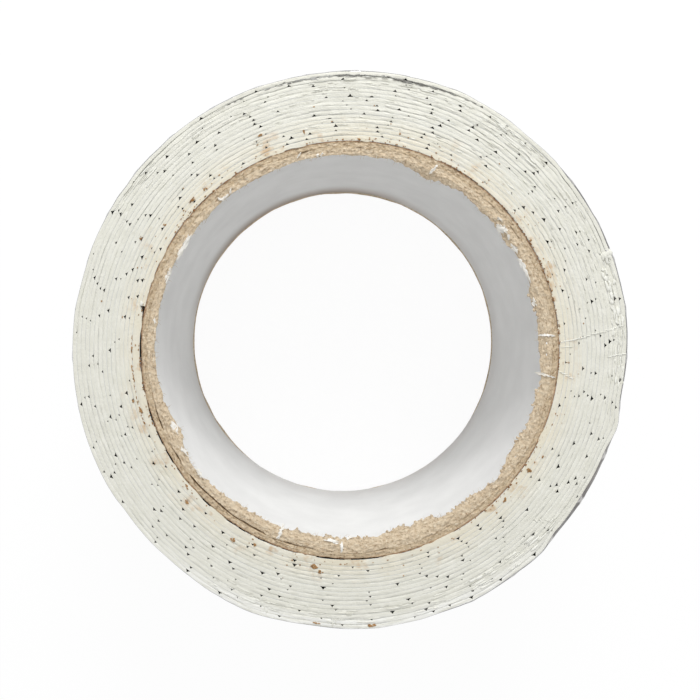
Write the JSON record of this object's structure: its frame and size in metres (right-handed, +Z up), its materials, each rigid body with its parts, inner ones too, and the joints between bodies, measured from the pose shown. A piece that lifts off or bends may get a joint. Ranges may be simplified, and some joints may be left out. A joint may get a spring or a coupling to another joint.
{
  "type": "butyl sealing tape roll",
  "caption": "Roll of foil-faced butyl sealing tape wound with its release liner on a paperboard core, with a free end that lifts and a liner that peels.",
  "frame": {"origin": "centre of the end face that the roll rests on, on the roll's axis", "axes": "+Z up along the roll's axis; the free end of the tape lies about 21 degrees from +X towards +Y"},
  "size_m": [0.1083, 0.1088, 0.05],
  "materials": {
    "lining_paper": "smooth white paper",
    "inner_board": "torn kraft board",
    "outer_board": "kraft board",
    "release_liner": "thin satin film",
    "butyl": "cream compound, slit edge",
    "foil": "embossed soft foil"
  },
  "bodies": {
    "roll": {"core_lining": "lining_paper", "core_inner_board": "inner_board", "core_outer_board": "outer_board", "liner_winding": "release_liner", "butyl_winding": "butyl", "foil_winding": "foil"},
    "tail": {"tail_butyl": "butyl", "tail_foil": "foil"},
    "liner_tab": {"tail_liner": "release_liner"}
  },
  "joints": [
    {"name": "tail_lift", "type": "hinge", "parent": "roll", "child": "tail", "pos_m": [0.03275, 0.04335, 0], "axis": [0, 0, 1], "range_deg": [0, 90]},
    {"name": "liner_peel", "type": "hinge", "parent": "roll", "child": "liner_tab", "pos_m": [0.03275, 0.04335, 0], "axis": [0, 0, 1], "range_deg": [0, 45]}
  ],
  "couplings": [
    {"joint": "liner_peel", "follows": "tail_lift", "ratio": 0.5}
  ]
}
